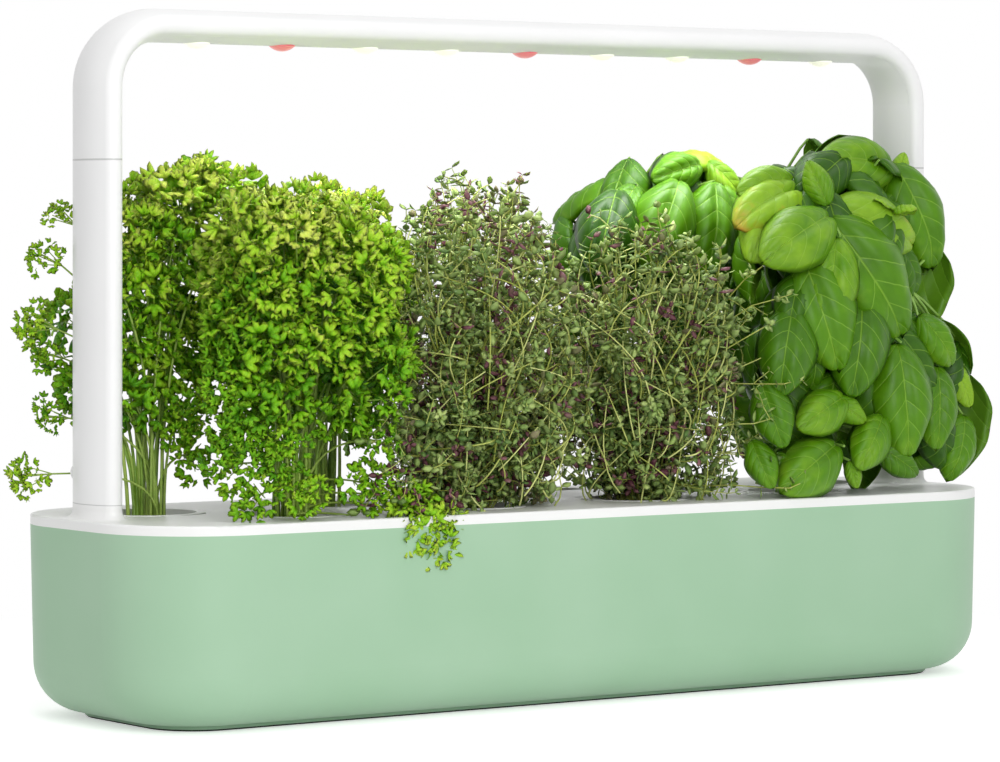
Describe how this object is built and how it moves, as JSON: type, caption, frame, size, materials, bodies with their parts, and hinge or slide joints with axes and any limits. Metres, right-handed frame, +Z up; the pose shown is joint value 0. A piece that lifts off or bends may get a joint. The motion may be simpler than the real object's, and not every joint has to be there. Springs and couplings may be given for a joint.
{
  "type": "indoor herb planter",
  "caption": "Countertop herb garden: long rounded water tub with a lid, planted cups in a zigzag and an arched grow lamp on two side arms.",
  "frame": {"origin": "on the floor under the middle of the tub", "axes": "+X along the tub, -Y the front, +Z up"},
  "size_m": [0.62, 0.185, 0.3999],
  "materials": {
    "tub_plastic": "matte moulded, sage green",
    "rubber": "matte",
    "white_plastic": "satin moulded",
    "lamp_plastic": "satin moulded",
    "cup_plastic": "satin moulded",
    "float_plastic": "satin moulded",
    "black_plastic": "satin",
    "contact_metal": "plated",
    "board": "solder-masked board",
    "led_chip": "light chip",
    "steel": "plated",
    "red_lens": "lit translucent",
    "white_lens": "lit translucent",
    "soil": "coarse growing medium",
    "felt": "felt",
    "parsley_leaf": "curly leaves on pale stems",
    "thyme_leaf": "small leaves on wiry stems",
    "basil_leaf": "glossy cupped leaves"
  },
  "bodies": {
    "tub": {"tub": "tub_plastic", "foot_ring": "rubber"},
    "lid": {"lid": "white_plastic"},
    "level_float": {"level_float": "float_plastic"},
    "arms": {"arm_left": "white_plastic", "arm_right": "white_plastic", "arm_contacts": "contact_metal", "power_inlet": "black_plastic"},
    "lamp": {"lamp_shell": "white_plastic", "lamp_cover": "lamp_plastic", "lamp_contacts": "contact_metal", "led_board": "board", "led_chips": "led_chip", "board_screws": "steel", "lenses_red": "red_lens", "lenses_white": "white_lens"},
    "herb_cup_1": {"cup_1": "cup_plastic", "soil_1": "soil", "wick_1": "felt", "parsley_1": "parsley_leaf"},
    "herb_cup_2": {"cup_2": "cup_plastic", "soil_2": "soil", "wick_2": "felt", "parsley_2": "parsley_leaf"},
    "herb_cup_3": {"cup_3": "cup_plastic", "soil_3": "soil", "wick_3": "felt", "parsley_3": "parsley_leaf"},
    "herb_cup_4": {"cup_4": "cup_plastic", "soil_4": "soil", "wick_4": "felt", "thyme_1": "thyme_leaf"},
    "herb_cup_5": {"cup_5": "cup_plastic", "soil_5": "soil", "wick_5": "felt", "thyme_2": "thyme_leaf"},
    "herb_cup_6": {"cup_6": "cup_plastic", "soil_6": "soil", "wick_6": "felt", "thyme_3": "thyme_leaf"},
    "herb_cup_7": {"cup_7": "cup_plastic", "soil_7": "soil", "wick_7": "felt", "basil_1": "basil_leaf"},
    "herb_cup_8": {"cup_8": "cup_plastic", "soil_8": "soil", "wick_8": "felt", "basil_2": "basil_leaf"},
    "herb_cup_9": {"cup_9": "cup_plastic", "soil_9": "soil", "wick_9": "felt", "basil_3": "basil_leaf"}
  },
  "joints": [
    {"name": "lid_lift", "type": "slide", "parent": "tub", "child": "lid", "axis": [0, 0, 1], "range_m": [0, 0.12]},
    {"name": "arms_lift", "type": "slide", "parent": "lid", "child": "arms", "axis": [0, 0, 1], "range_m": [0, 0.03]},
    {"name": "lamp_lift", "type": "slide", "parent": "arms", "child": "lamp", "axis": [0, 0, 1], "range_m": [0, 0.03]},
    {"name": "float_rise", "type": "slide", "parent": "lid", "child": "level_float", "axis": [0, 0, 1], "range_m": [0, 0.028]},
    {"name": "cup_1_lift", "type": "slide", "parent": "lid", "child": "herb_cup_1", "axis": [0, 0, 1], "range_m": [0, 0.04]},
    {"name": "cup_2_lift", "type": "slide", "parent": "lid", "child": "herb_cup_2", "axis": [0, 0, 1], "range_m": [0, 0.04]},
    {"name": "cup_3_lift", "type": "slide", "parent": "lid", "child": "herb_cup_3", "axis": [0, 0, 1], "range_m": [0, 0.04]},
    {"name": "cup_4_lift", "type": "slide", "parent": "lid", "child": "herb_cup_4", "axis": [0, 0, 1], "range_m": [0, 0.04]},
    {"name": "cup_5_lift", "type": "slide", "parent": "lid", "child": "herb_cup_5", "axis": [0, 0, 1], "range_m": [0, 0.04]},
    {"name": "cup_6_lift", "type": "slide", "parent": "lid", "child": "herb_cup_6", "axis": [0, 0, 1], "range_m": [0, 0.04]},
    {"name": "cup_7_lift", "type": "slide", "parent": "lid", "child": "herb_cup_7", "axis": [0, 0, 1], "range_m": [0, 0.04]},
    {"name": "cup_8_lift", "type": "slide", "parent": "lid", "child": "herb_cup_8", "axis": [0, 0, 1], "range_m": [0, 0.04]},
    {"name": "cup_9_lift", "type": "slide", "parent": "lid", "child": "herb_cup_9", "axis": [0, 0, 1], "range_m": [0, 0.04]}
  ]
}
